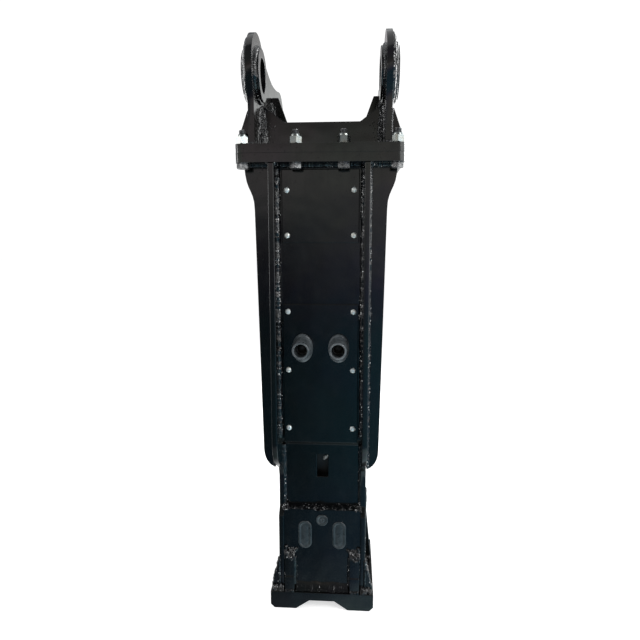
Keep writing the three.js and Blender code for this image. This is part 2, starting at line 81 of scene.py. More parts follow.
def flanks(node, s):
    """The x of a node's inner and outer side face, for a node on side s."""
    near, far = sorted((abs(low(node).x), abs(high(node).x)))
    return near * s, far * s


def at(x, y, z):
    return Vector((x, y, z))


def middle(node, y):
    """The middle of a node as seen from the front, at the depth y."""
    lo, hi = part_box(node)
    return at((lo.x + hi.x) / 2, y, (lo.z + hi.z) / 2)


# ---- node graphs


class Graph:
    """A small helper for building a material's node graph."""

    def __init__(self, tree):
        self.tree = tree
        tree.nodes.clear()

    def add(self, kind, values=None, **settings):
        node = self.tree.nodes.new(kind)
        for key, value in settings.items():
            setattr(node, key, value)
        for key, value in (values or {}).items():
            self.put(node.inputs[key], value)
        return node

    def put(self, socket, value):
        if isinstance(value, bpy.types.NodeSocket):
            self.tree.links.new(value, socket)
        else:
            socket.default_value = (*value, 1.0) if socket.type == "RGBA" else value

    def noise(self, vector, scale, detail=3.0, roughness=0.55):
        values = {"Vector": vector, "Scale": scale, "Detail": detail, "Roughness": roughness}
        return self.add("ShaderNodeTexNoise", values).outputs["Fac"]

    def patches(self, noise, *limits):
        """A noise, given by its arguments, spread between limits."""
        return self.spread(self.noise(*noise), *limits)

    def cells(self, vector, scale):
        return self.add("ShaderNodeTexVoronoi", {"Vector": vector, "Scale": scale}).outputs["Distance"]

    def spread(self, value, start, end, low=0.0, high=1.0):
        """Carries the range from start to end over to the range from low to high, and clamps it."""
        values = {"Value": value, "From Min": start, "From Max": end, "To Min": low, "To Max": high}
        return self.add("ShaderNodeMapRange", values).outputs["Result"]

    def maths(self, operation, a, b):
        node = self.add("ShaderNodeMath", operation=operation)
        self.put(node.inputs[0], a)
        self.put(node.inputs[1], b)
        return node.outputs[0]

    def blend(self, factor, a, b, mode="MIX"):
        node = self.add("ShaderNodeMix", data_type="RGBA", blend_type=mode)
        self.put(node.inputs["Factor"], factor)
        self.put(node.inputs["A"], a)
        self.put(node.inputs["B"], b)
        return node.outputs["Result"]

    def ramp(self, factor, stops):
        node = self.add("ShaderNodeValToRGB", {"Fac": factor})
        elements = node.color_ramp.elements
        while len(elements) < len(stops):
            elements.new(0.5)
        for element, (position, colour) in zip(elements, stops):
            element.position = position
            element.color = (*colour, 1.0)
        return node.outputs["Color"]

    def bump(self, height, strength, distance, normal=None):
        values = {"Height": height, "Strength": strength, "Distance": distance}
        if normal is not None:
            values["Normal"] = normal
        return self.add("ShaderNodeBump", values).outputs["Normal"]

    def stretched(self, vector, scale):
        return self.add("ShaderNodeMapping", {"Vector": vector, "Scale": scale}).outputs["Vector"]


class Look(Graph):
    """The graph of a material: one Principled shader and what feeds it."""

    def __init__(self, tree):
        super().__init__(tree)
        self.shader = self.add("ShaderNodeBsdfPrincipled")
        out = self.add("ShaderNodeOutputMaterial")
        tree.links.new(self.shader.outputs["BSDF"], out.inputs["Surface"])

    def feed(self, socket, value):
        self.put(self.shader.inputs[socket], value)

    base = partialmethod(feed, "Base Color")
    metal = partialmethod(feed, "Metallic")
    rough = partialmethod(feed, "Roughness")
    normal = partialmethod(feed, "Normal")
    specular = partialmethod(feed, "Specular IOR Level")


def material(name, build):
    made = bpy.data.materials.new(name)
    made.use_nodes = True
    look = Look(made.node_tree)
    build(look, look.add("ShaderNodeTexCoord").outputs["Object"])
    return made


def paint(look, place):
    """Thick gloss black paint: slow waves of the plate, orange peel, grit and a little dust."""
    tint = look.ramp(look.noise(place, 4.5, 2.0), [
        (0.30, (0.0016, 0.0026, 0.0030)),
        (0.50, (0.0026, 0.0026, 0.0022)),
        (0.70, (0.0026, 0.0018, 0.0036)),
    ])
    dust = look.patches((place, 26.0, 6.0, 0.7), 0.54, 0.82, 0.0, 0.07)
    colour = look.blend(dust, tint, (0.060, 0.060, 0.056))
    look.base(colour)
    haze = look.patches((place, 14.0, 5.0, 0.65), 0.35, 0.75, 0.09, 0.19)
    streaks = look.noise(look.stretched(place, (60.0, 60.0, 7.0)), 1.0)
    look.rough(look.maths("ADD", haze, look.spread(streaks, 0.45, 0.8, 0.0, 0.07)))
    look.specular(0.5)
    wave = look.bump(look.noise(place, 9.0, 2.0), 0.6, 0.0022)
    peel = look.bump(look.noise(place, 420.0, 2.0), 0.5, 0.00012, wave)
    grit = look.spread(look.cells(place, 95.0), 0.0, 0.16, 1.0, 0.0)
    look.normal(look.bump(grit, 0.6, 0.00022, peel))


def weld_paint(look, place, lump=0.0034, glints_from=0.48):
    """The same paint over weld metal: glossier, with the small lumps and pores of the beads, and light grey
    specks painted on as glints.
    """
    tint = look.ramp(look.noise(place, 5.0, 2.0), [
        (0.30, (0.0020, 0.0028, 0.0030)),
        (0.70, (0.0030, 0.0024, 0.0034)),
    ])
    pocket = look.patches((place, 160.0), 0.58, 0.80, 0.0, 0.25)
    coat = look.blend(pocket, tint, (0.014, 0.015, 0.015))
    # Painted highlights: light grey specks in patches on the bead colour, standing in for glints of light on
    # the weld ripples.
    grit = look.spread(look.cells(look.stretched(place, (1.0, 1.0, 0.45)), 190.0), 0.12, 0.24, 1.0, 0.0)
    glint_patches = look.patches((place, 26.0), glints_from, glints_from + 0.09)
    glint_specks = look.maths("MULTIPLY", grit, glint_patches)
    look.base(look.blend(glint_specks, coat, (0.72, 0.74, 0.74)))
    look.rough(look.patches((place, 60.0), 0.3, 0.75, 0.05, 0.16))
    look.specular(0.55)
    lumps = look.bump(look.noise(look.stretched(place, (1.0, 1.0, 0.55)), 125.0, 2.0, 0.40), 1.0, lump)
    drops = look.spread(look.cells(place, 230.0), 0.0, 0.42, 1.0, 0.0)
    look.normal(look.bump(drops, 0.7, 0.0007, lumps))


def calm_weld(look, place):
    """The smoother welds round the doublers and bosses."""
    # Shallower lumps, and fewer of the painted glint specks.
    weld_paint(look, place, 0.0011, 0.56)


def zinc(look, place, glare=0.74):
    """Bright zinc plate: fine tumbling marks, a faint blue and yellow cast, and dirt in patches."""
    cast = look.ramp(look.noise(place, 70.0, 2.0), [
        (0.30, (0.29 * glare, 0.33 * glare, 0.34 * glare)),
        (0.52, (0.37 * glare, 0.39 * glare, 0.38 * glare)),
        (0.74, (0.35 * glare, 0.34 * glare, 0.30 * glare)),
    ])
    dirt = look.patches((place, 190.0, 4.0, 0.7), 0.50, 0.74, 0.0, 0.70)
    look.base(look.blend(dirt, cast, (0.16, 0.16, 0.15)))
    look.metal(1.0)
    look.rough(look.patches((place, 240.0), 0.3, 0.8, 0.20, 0.42))
    marks = look.noise(look.stretched(place, (900.0, 900.0, 160.0)), 1.0)
    look.normal(look.bump(marks, 0.35, 0.00012))


def lit_zinc(look, place):
    """Zinc painted lighter for the cover screws: its colour raised 2.2 times and partly diffuse, a painted
    highlight in place of their bright reflections.
    """
    zinc(look, place, 2.2)
    look.metal(0.55)


def zinc_with_black_patches(look, place):
    """Zinc plate mixed in patches with near-black, and less metallic where it is dark, as on the bolt heads
    under the flange.
    """
    black_patch = look.patches((place, 130.0, 4.0, 0.65), 0.40, 0.62)
    look.base(look.blend(black_patch, (0.20, 0.20, 0.20), (0.030, 0.030, 0.032)))
    look.metal(look.spread(black_patch, 0.0, 1.0, 0.9, 0.25))
    look.rough(look.patches((place, 90.0), 0.3, 0.8, 0.20, 0.40))
    look.normal(look.bump(look.noise(place, 500.0), 0.4, 0.0002))


def rubber(look, place, dark=(0.010, 0.015, 0.018), pale=(0.040, 0.050, 0.056)):
    """Matt dark grey moulded rubber with a pale bloom, fine grain and faint moulding rings."""
    bloom = look.patches((place, 34.0, 5.0, 0.7), 0.35, 0.75)
    colour = look.blend(bloom, dark, pale)
    specks = look.spread(look.cells(place, 300.0), 0.0, 0.22, 0.35, 0.0)
    look.base(look.blend(specks, colour, (0.08, 0.09, 0.09)))
    look.rough(look.patches((place, 90.0, 4.0), 0.3, 0.8, 0.24, 0.40))
    look.specular(0.5)
    grain = look.bump(look.noise(place, 900.0), 0.5, 0.00025)
    look.normal(look.bump(look.noise(place, 120.0, 2.0), 0.5, 0.0004, grain))


def lit_boot_rubber(look, place):
    """The same rubber with its dark and pale tones raised several times, as on the hose boots: a painted
    highlight for the light falling on them.
    """
    rubber(look, place, (0.030, 0.038, 0.044), (0.150, 0.170, 0.182))


def casting(look, place):
    """Milled steel block with a dark phosphate coat: cutter marks and oily patches."""
    patch = look.patches((place, 17.0, 5.0, 0.65), 0.35, 0.7)
    look.base(look.blend(patch, (0.007, 0.009, 0.009), (0.022, 0.023, 0.022)))
    look.metal(0.2)
    look.rough(look.spread(patch, 0.0, 1.0, 0.34, 0.56))
    marks = look.noise(look.stretched(place, (30.0, 30.0, 900.0)), 1.0, 2.0)
    look.normal(look.bump(marks, 0.4, 0.0002))


def ground_steel(look, place):
    """Ground and oiled steel with fine turning lines and thin scratches."""
    tone = look.patches((place, 40.0, 4.0), 0.3, 0.75)
    look.base(look.blend(tone, (0.46, 0.47, 0.48), (0.60, 0.60, 0.59)))
    look.metal(1.0)
    look.rough(look.patches((place, 130.0), 0.3, 0.8, 0.16, 0.32))
    lines = look.noise(look.stretched(place, (25.0, 25.0, 1900.0)), 1.0, 2.0)
    look.normal(look.bump(lines, 0.3, 0.00008))


def dark_steel(look, place):
    """Blackened and oiled steel, a little rubbed."""
    rubbed = look.patches((place, 85.0, 5.0, 0.7), 0.48, 0.75)
    look.base(look.blend(rubbed, (0.050, 0.050, 0.056), (0.17, 0.17, 0.17)))
    look.metal(0.85)
    look.rough(look.spread(rubbed, 0.0, 1.0, 0.46, 0.30))
    look.normal(look.bump(look.noise(place, 600.0), 0.35, 0.0001))


def urethane(look, place):
    """Cast polyurethane: dark blue, faintly cloudy, with small bubbles near the surface."""
    cloud = look.patches((place, 30.0), 0.3, 0.75)
    look.base(look.blend(cloud, (0.018, 0.034, 0.085), (0.034, 0.056, 0.125)))
    look.rough(look.spread(cloud, 0.0, 1.0, 0.35, 0.50))
    bubbles = look.spread(look.cells(place, 260.0), 0.0, 0.20, 1.0, 0.0)
    look.normal(look.bump(bubbles, 0.4, 0.0002))


def hole_shade(look, place):
    """Painted shade: a near-black, faintly mottled lining at the bottom of a hole, where there is only shade.
    """
    look.base(look.blend(look.noise(place, 90.0), (0.004, 0.005, 0.004), (0.012, 0.014, 0.011)))
    look.rough(look.patches((place, 150.0), 0.3, 0.8, 0.35, 0.65))


PAINT = material("gloss_black_paint", paint)
WELD = material("painted_weld", weld_paint)
CALM_WELD = material("smooth_weld", calm_weld)
ZINC = material("zinc_plating", zinc)
BLACK_PATCHED_ZINC = material("zinc_with_black_patches", zinc_with_black_patches)
# The screws' zinc, painted lighter as a highlight.
LIT_ZINC = material("lit_zinc", lit_zinc)
RUBBER = material("moulded_rubber", rubber)
# The boots' rubber, painted lighter as a highlight.
LIT_BOOT_RUBBER = material("lit_boot_rubber", lit_boot_rubber)
HOLE_SHADE = material("painted_hole_shade", hole_shade)
SLOT_MATERIALS = {
    "black_paint": PAINT,
    "zinc_plate": ZINC,
    "black_rubber": RUBBER,
    "cast_block": material("coated_block", casting),
    "ground_steel": material("ground_steel", ground_steel),
    "dark_steel": material("blackened_steel", dark_steel),
    "urethane": material("cast_urethane", urethane),
}

# ---- carried-over plates

# Widths in mm.
BEVELS = {
    "foot_plate": 3.0, "housing_flange": 2.4, "bracket_flange": 2.4, "upper_cover": 2.2, "lower_cover": 2.2,
    "nose_pad_left": 2.2, "nose_pad_right": 2.2,
}
PLATE_BEVEL = 2.0
FINE_BEVEL = 0.8
SMOOTHEST_EDGE = radians(28)


def dress_cad_nodes():
    """Gives every CAD node its slot's material, rounded edges and smooth rounds."""
    slots = {part["node"]: part["material_slot"] for part in frame["record"]["subparts"]}
    for name, node in frame["nodes"].items():
        mesh = node.data
        mesh.materials.clear()
        mesh.materials.append(SLOT_MATERIALS[slots[name]])
        if "custom_normal" in mesh.attributes:
            mesh.attributes.remove(mesh.attributes["custom_normal"])
        for polygon in mesh.polygons:
            polygon.use_smooth = True
        plate = slots[name] == "black_paint"
        weld = node.modifiers.new("weld", "WELD")
        weld.merge_threshold = 1e-5
        bevel = node.modifiers.new("bevel", "BEVEL")
        bevel.width = (BEVELS.get(name, PLATE_BEVEL) if plate else FINE_BEVEL) * MM
        bevel.segments = 3
        bevel.limit_method = "ANGLE"
        bevel.angle_limit = SMOOTHEST_EDGE
        bevel.harden_normals = False
        normals = node.modifiers.new("normals", "WEIGHTED_NORMAL")
        normals.weight = 60


# ---- meshes


class Builder:
    """Collects rings of points into one mesh piece, with a material index for each face."""

    def __init__(self):
        self.verts, self.faces, self.kinds = [], [], []

    def tube(self, rings, closed=False, cap_start=True, cap_end=True, kind=0):
        """Joins rings (each a list of points, same length) into a skin."""
        base = len(self.verts)
        count, size = len(rings), len(rings[0])
        for ring in rings:
            self.verts.extend(ring)
        spans = count if closed else count - 1
        for i in range(spans):
            a = base + i * size
            b = base + (i + 1) % count * size
            for j in range(size):
                k = (j + 1) % size
                self.faces.append((a + j, a + k, b + k, b + j))
                self.kinds.append(kind)
        caps = ((base, cap_start), (base + (count - 1) * size, cap_end))
        for first, capped in () if closed else caps:
            if capped:
                self.faces.append(tuple(range(first, first + size)))
                self.kinds.append(kind)

    def piece(self, name, materials, slot, body="housing", sharp=35.0):
        """A piece that rides on a body; edges sharper than the angle stay crisp."""
        mesh = bpy.data.meshes.new(name)
        mesh.from_pydata([tuple(v) for v in self.verts], [], self.faces)
        for each in materials:
            mesh.materials.append(each)
        mesh.polygons.foreach_set("material_index", self.kinds)
        mesh.update()
        solid = bmesh.new()
        solid.from_mesh(mesh)
        bmesh.ops.recalc_face_normals(solid, faces=solid.faces)
        for face in solid.faces:
            face.smooth = True
        for edge in solid.edges:
            edge.smooth = len(edge.link_faces) != 2 or edge.calc_face_angle() < radians(sharp)
        solid.to_mesh(mesh)
        solid.free()
        piece = bpy.data.objects.new(name, mesh)
        bpy.context.scene.collection.objects.link(piece)
        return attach(piece, body)


# ---- weld beads


def smooth_noise(rng, rows, columns, along, across):
    """Random lumps with a given size in samples along and across the bead, about -1 to 1."""
    field = rng.normal(size=(rows + 8 * along, columns + 8 * across))
    for axis, width in ((0, along), (1, across)):
        reach = np.arange(-2 * width, 2 * width + 1)
        kernel = np.exp(-0.5 * (reach / width) ** 2)
        kernel /= sqrt((kernel ** 2).sum())
        field = np.apply_along_axis(lambda line: np.convolve(line, kernel, "same"), axis, field)
    return field[4 * along:4 * along + rows, 4 * across:4 * across + columns] * 0.5


def resample(points, step):
    """Points and the share of each neighbour, evenly spaced along a polyline."""
    points = np.array([tuple(p) for p in points], float)
    lengths = np.linalg.norm(np.diff(points, axis=0), axis=1)
    along = np.concatenate([[0.0], np.cumsum(lengths)])
    count = max(6, int(along[-1] / step) + 1)
    wanted = np.linspace(0.0, along[-1], count)
    return np.stack([np.interp(wanted, along, points[:, k]) for k in range(3)], 1), wanted, along


def directions(direction, wanted, along):
    """A direction for each sample, from one vector or from one at each path point."""
    if isinstance(direction, Vector):
        return np.tile(np.array(direction, float), (len(wanted), 1))
    table = np.array([tuple(v) for v in direction], float)
    found = np.stack([np.interp(wanted, along, table[:, k]) for k in range(3)], 1)
    return found / np.linalg.norm(found, axis=1, keepdims=True)


# How far a bead's root and its two edges lie inside the plates, and how long its rounded ends are, in mm.
SUNK, TUCKED, ROUNDED_END = 0.6, 0.4, 5.0


class Bead:
    """Lays weld beads into a builder. Each bead gets its own random numbers from a running seed."""

    def __init__(self, seed, step=1.25):
        self.builder = Builder()
        self.seed = seed
        self.step = step * MM

    def _rng(self):
        self.seed += 1
        return np.random.default_rng(self.seed)

    def _lay(self, path, a, b, profile, pitch, ripple, lump, ragged, taper, closed=False, flat=False):
        """Sweeps a cross-section, given as steps along a and b, with crescent ripples and lumps.

        A flat bead has a across it and b away from the face, and its steps lean half-way between them.
        """
        rng = self._rng()
        centre, wanted, along = resample(path, self.step)
        if closed:
            centre, wanted = centre[:-1], wanted[:-1]
        a, b = directions(a, wanted, along), directions(b, wanted, along)
        if flat:
            a, b = (b + a) / sqrt(2), (b - a) / sqrt(2)
        rows, columns = len(wanted), len(profile)
        t = np.linspace(0.0, 1.0, columns)
        bow = np.sin(np.pi * t)
        wander = np.cumsum(1.0 + 0.25 * smooth_noise(rng, rows, 1, 6, 1)[:, 0]) / rows * wanted[-1]
        phase = wander[:, None] / (pitch * MM) - 1.1 * bow
        crest = 1.0 - np.abs(2.0 * (phase % 1.0) - 1.0) ** 1.6
        height = ripple * crest + lump * smooth_noise(rng, rows, columns, 3, 2)
        height = height * MM * (0.25 + 0.75 * bow)
        scale = 1.0 + ragged * smooth_noise(rng, rows, 1, 9, 1)
        edge = ragged * 0.6 * smooth_noise(rng, rows, 2, 3, 1)
        if taper:
            shares, sizes = zip(*taper)
            scale = scale * np.interp(wanted / wanted[-1], shares, sizes)[:, None]
        if not closed:
            into = np.minimum(1.0, np.minimum(wanted, wanted[-1] - wanted) / (ROUNDED_END * MM))
            ends = np.sqrt(np.clip(1.0 - (1.0 - into) ** 2, 0.0, 1.0)) * 0.9 + 0.1
            scale = scale * ends[:, None]
            height = height * ends[:, None]
        alpha, beta = np.array(profile).T
        alpha = alpha * scale * (1.0 + edge[:, :1] * (1.0 - t))
        beta = beta * scale * (1.0 + edge[:, 1:] * t)
        sunk = centre - (a + b) * SUNK * MM
        centre, a, b = centre[:, None, :], a[:, None, :], b[:, None, :]
        out = (a + b) / np.linalg.norm(a + b, axis=2, keepdims=True)
        points = centre + alpha[..., None] * a + beta[..., None] * b + height[..., None] * out
        rings = [[sunk[i], *points[i]] for i in range(rows)]
        self.builder.tube(rings, closed=closed)

    def fillet(self, path, a, b, leg_a, leg_b=None, closed=False, pitch=5.0, ripple=0.55, lump=0.35,
               ragged=0.10, bulge=0.16, columns=9, taper=None):
        """A bead in the corner of two faces that leave the path along a and b; legs in mm."""
        leg_b = leg_b or leg_a
        profile = []
        for t in np.linspace(0.0, 1.0, columns):
            swell = bulge * sin(pi * t)
            profile.append((leg_a * (1 - t + swell) * MM, leg_b * (t + swell) * MM))
        profile[0] = (leg_a * MM, -TUCKED * MM)
        profile[-1] = (-TUCKED * MM, leg_b * MM)
        self._lay(path, a, b, profile, pitch, ripple, lump, ragged, taper, closed)

    def seam(self, start, end, a, b, *legs, **shape):
        """A straight fillet between two places."""
        self.fillet([at(*start), at(*end)], a, b, *legs, **shape)

    def ring(self, x, y, z, radius, out, *legs, **shape):
        """A fillet round a boss that stands on a face looking along out."""
        angles = [2 * pi * i / 48 for i in range(49)]
        normals = [at(0, cos(angle), sin(angle)) for angle in angles]
        points = [at(x, y, z) + normal * radius for normal in normals]
        self.fillet(points, normals, out, *legs, closed=True, **shape)

    def ridge(self, path, across, out, width, height, pitch=4.5, ripple=0.5, lump=0.4, ragged=0.12,
              taper=None):
        """A bead lying on a face: across is its width direction and out points away from the face."""
        profile = []
        for angle in pi * np.linspace(0.0, 1.0, 9):
            u, v = width / 2 * cos(angle) * MM, height * (sin(angle) - 0.12) * MM
            profile.append(((v + u) / sqrt(2), (v - u) / sqrt(2)))
        self._lay(path, across, out, profile, pitch, ripple, lump, ragged, taper, flat=True)

    def column(self, path, a, b, leg_a, leg_b, passes):
        """A heavy upright fillet of several passes that flares at its foot and narrows to its top."""
        taper = [(0.0, 1.45), (0.08, 1.05), (0.35, 0.85), (0.85, 0.62), (1.0, 0.2)]
        self.fillet(path, a, b, leg_a, leg_b, ripple=0.8, lump=1.4, ragged=0.16, bulge=0.04, taper=taper)
        slope = (b * leg_b - a * leg_a).normalized()
        normal = (a * leg_b + b * leg_a).normalized()
        foot, head = path
        for i in range(passes):
            share = (i + 0.5) / passes
            shift = (a * leg_a * (1 - share) + b * leg_b * share) * MM
            top = head + (foot - head) * 0.07 * (1 + (i * 37) % 3)
            width = 1.3 * hypot(leg_a, leg_b) / passes
            line = [foot + shift * 1.3, foot.lerp(top, 0.12) + shift, top + shift * 0.6]
            self.ridge(line, slope, normal, width, width * 0.42, pitch=6.5, ripple=1.2, lump=1.5, ragged=0.3,
                       taper=[(0, 1.2), (1, 0.6)])

    def cluster(self, place, normal, reach, count, size):
        """Short overlapping dabs of weld laid in every direction; reach and size in mm."""
        rng = self._rng()
        side = normal.cross(X if abs(normal.x) < 0.8 else Z).normalized()
        rise = normal.cross(side)
        for _ in range(count):
            spot = place + (side * rng.uniform(-1, 1) * reach[0] + rise * rng.uniform(-1, 1) * reach[1]) * MM
            turn = rng.uniform(0, pi)
            run = (side * cos(turn) + rise * sin(turn)) * size * rng.uniform(0.35, 0.75) * MM
            self.ridge([spot - run, spot + run], run.cross(normal).normalized(), normal, size * 1.1,
                       size * rng.uniform(0.35, 0.55), lump=1.0, ragged=0.25)

    def spatter(self, path, normal, spread, count, size):
        """Small round drops beside a bead: path is its line and spread how far they fly, in mm."""
        rng = self._rng()
        start, end = path
        side = (end - start).cross(normal).normalized()
        along = (end - start).normalized()
        for _ in range(count):
            place = start.lerp(end, rng.uniform(0, 1)) + side * rng.uniform(-1, 1) * spread * MM
            radius = size * rng.uniform(0.5, 1.3) * MM
            turns = np.linspace(0, 2 * pi, 10, endpoint=False)
            dome = ((-0.2, 1.0), (0.25, 0.93), (0.55, 0.62), (0.68, 0.2))
            self.builder.tube([[
                place + normal * radius * rise + (along * cos(t) + side * sin(t)) * radius * share
                for t in turns] for rise, share in dome])

    def finish(self, name, look=None):
        return self.builder.piece(name, [look or WELD], "black_paint", sharp=80.0)


def housing_welds():
    """Beads along the side plates: with the front plates, the wings, the rear plate and the flange."""
    beads = Bead(100)
    hidden = Bead(300, step=2.0)
    top, ground = low("housing_flange").z, high("foot_plate").z
    face, rear = low("front_plate").y, high("rear_plate").y
    nose, knee = high("nose_front_plate"), high("lower_front_plate").z
    for name, s in SIDES:
        plate = f"side_plate_{name}"
        inner, outer = flanks(plate, s)
        edge, back = low(plate).y + 0.004, high(plate).y - 0.004
        tip = flanks(f"front_wing_{name}", s)[1] - 0.004 * s
        wing, rear_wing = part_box(f"front_wing_{name}"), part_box(f"rear_wing_{name}")
        foot = wing[0].z + 0.004
        into, away = -X * s, X * s
        beads.seam((inner, face, low("front_plate").z + 0.006), (inner, face, top - 0.004), into, -Y,
                   9.5, 14.0, lump=0.6, ragged=0.14, ripple=0.8)
        beads.seam((inner, nose.y, nose.z), (inner, nose.y, knee - 0.050), into, -Y, 8.5, 8.0)
        beads.seam((outer, wing[0].y, foot), (outer, wing[0].y, top), away, -Y, 8.0, 8.5)
        for y, out, leg in ((wing[1].y, Y, 7.5), (rear_wing[0].y, -Y, 7.5), (rear_wing[1].y, Y, 8.0)):
            hidden.seam((outer, y, foot), (outer, y, top), away, out, leg)
        hidden.seam((inner, rear, ground), (inner, rear, top), into, Y, 8.5)
        beads.seam((outer, wing[0].y, top), (tip, wing[0].y, top), -Z, -Y, 7.0)
        hidden.seam((outer, rear_wing[1].y, top), (tip, rear_wing[1].y, top), -Z, Y, 7.0)
        beads.seam((outer, edge, top), (outer, wing[0].y, top), -Z, away, 6.5)
        beads.seam((inner, edge, top), (inner, face, top), -Z, into, 6.5)
        for start, end in ((wing[1].y, rear_wing[0].y), (rear_wing[1].y, back)):
            hidden.seam((outer, start, top), (outer, end, top), -Z, away, 7.5)
        hidden.seam((inner, rear, top), (inner, back, top), -Z, into, 7.5)
        hidden.seam((outer, low(plate).y + 0.124, ground), (outer, rear + 0.020, ground), away, Z, 9.0)
    beads.seam((-0.110, face, top), (0.110, face, top), -Z, -Y, 5.5)
    span = high("rear_plate").x - 0.004
    for z, out in ((ground, Z), (top, -Z)):
        hidden.seam((-span, rear, z), (span, rear, z), Y, out, 8.0)
    beads.finish("weld_housing_front")
    hidden.finish("weld_housing_rear")


def nose_welds():
    """Beads and caps of the nose: plate, pads, gussets and foot."""
    beads = Bead(500, step=1.0)
    ground = high("foot_plate").z
    plate, shelf = low("nose_front_plate").y, high("nose_front_plate")
    beads.seam((-shelf.x, shelf.y, shelf.z), shelf, Z, -Y, 8.0, 23.0, lump=0.9, ragged=0.16, ripple=0.7,
               bulge=0.10)
    foot = Bead(600)
    half = flanks("nose_pad_right", 1)[0]
    foot.seam((-half, plate, ground), (half, plate, ground), Z, -Y, 22.0, 18.0, lump=0.7, ragged=0.12,
              ripple=0.5, bulge=-0.10, columns=11)
    foot.finish("weld_foot", PAINT)
    for name, s in SIDES:
        wall = flanks("side_plate_right", s)[0]
        beads.cluster(at(wall - 0.006 * s, plate + 0.009, shelf.z + 0.002), (Z * 2 - Y).normalized(), (11, 8),
                      18, 8.0)
        near, far = flanks(f"nose_pad_{name}", s)
        front, crown = low(f"nose_pad_{name}").y, high(f"nose_pad_{name}").z
        beads.seam((near, plate, ground + 0.012), (near, plate, crown), -X * s, -Y, 7.0, 10.0, lump=0.7)
        beads.seam((far, plate, ground + 0.012), (far, plate, crown), X * s, -Y, 2.6, 9.0, lump=0.5)
        beads.seam((near - 0.004 * s, plate, crown), (far + 0.004 * s, plate, crown), Z, -Y, 22.0, 16.0,
                   lump=1.3, ragged=0.2, ripple=1.1, pitch=6.5, bulge=0.14, columns=11)
        start = at(near - 0.010 * s, plate, crown + 0.026)
        end = at(near + 0.012 * s, plate - 0.004, crown + 0.002)
        beads.ridge([start, end], (X * s * 0.6 + Z).normalized(), -Y, 11.0, 6.0, lump=1.0)
        start, end = at(far - 0.004 * s, plate, crown + 0.034), at(far, plate - 0.006, crown + 0.004)
        beads.ridge([start, end], X * s, -Y, 12.0, 6.5, lump=1.0)
        centre = at((near + far) / 2, plate - 0.008, crown + 0.010)
        beads.cluster(centre, (Z * 0.7 - Y).normalized(), (17, 8), 30, 8.0)
        beads.seam((near, front, ground), (far, front, ground), Z, -Y, 8.0, 4.6, lump=0.7)
        outer, tip = flanks(f"nose_gusset_{name}", s)
        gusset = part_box(f"nose_gusset_{name}")
        front, back, crown = gusset[0].y, gusset[1].y, gusset[1].z
        start, end = at(outer, front, ground + 0.004), at(outer, front, crown + 0.006)
        beads.ridge([start, end], X, -Y, 11.0, 4.5, lump=0.9)
        beads.seam((far, front, ground), (tip + 0.003 * s, front, ground), Z, -Y, 15.0, 14.0, lump=1.2,
                   ragged=0.2, ripple=0.9, columns=11)
        corner = at(tip - 0.010 * s, front - 0.006, ground + 0.006)
        beads.cluster(corner, (Z - Y).normalized(), (10, 5), 16, 7.0)
        beads.seam((outer, back, ground), (outer, back, crown), X * s, Y, 8.0)
        beads.seam((outer, back, ground), (tip, back, ground), Z, Y, 8.0)
        slope = (at(outer, 0, crown) - at(tip, 0, ground + 0.008)).normalized()
        skin = at(slope.z * s, 0, -slope.x * s).normalized()
        for y in (front + 0.003, back - 0.003):
            beads.ridge([at(tip, y, ground + 0.006), at(outer, y, crown)], Y, skin, 13.0, 4.0, lump=1.9,
                        ripple=1.0, ragged=0.3)
        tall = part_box(f"rear_gusset_{name}")
        end = flanks(f"rear_gusset_{name}", s)[1]
        for y, out in ((tall[0].y, -Y), (tall[1].y, Y)):
            beads.seam((outer, y, ground), (outer, y, tall[1].z), X * s, out, 8.0)
            beads.seam((outer, y, ground), (end, y, ground), Z, out, 8.0)
    beads.finish("weld_nose")


def outline_of(node, x):
    """The closed outer edge of a plate that faces sideways, at its face x, in order."""
    solid = bmesh.new()
    solid.from_mesh(frame["nodes"][node].data)
    bmesh.ops.remove_doubles(solid, verts=solid.verts, dist=1e-5)
    chains = {}
    for edge in solid.edges:
        if len(edge.link_faces) != 2 or any(abs(v.co.x - x) > 1e-5 for v in edge.verts):
            continue
        flat = [abs(face.normal.x) > 0.9 for face in edge.link_faces]
        if flat[0] != flat[1]:
            a, b = (v.index for v in edge.verts)
            chains.setdefault(a, []).append(b)
            chains.setdefault(b, []).append(a)
    solid.verts.ensure_lookup_table()
    loops, seen = [], set()
    for here in chains:
        loop = []
        while here not in seen:
            seen.add(here)
            loop.append(solid.verts[here].co.copy())
            here = next((n for n in chains[here] if n not in seen), here)
        if loop:
            loops.append(loop)
    solid.free()

    def reach(loop):
        return max(p.z for p in loop) - min(p.z for p in loop) + max(p.y for p in loop)
    return max(loops, key=reach)


def outward(loop):
    """The direction out of a closed loop at each of its points, in the loop's own plane."""
    area = sum(p.y * q.z - q.y * p.z for p, q in zip(loop, loop[1:] + loop[:1]))
    turn = 1 if area > 0 else -1
    found = []
    for before, here, after in zip(loop[-1:] + loop[:-1], loop, loop[1:] + loop[:1]):
        run = (after - before).normalized()
        found.append(at(0, run.z * turn, -run.y * turn))
    return found


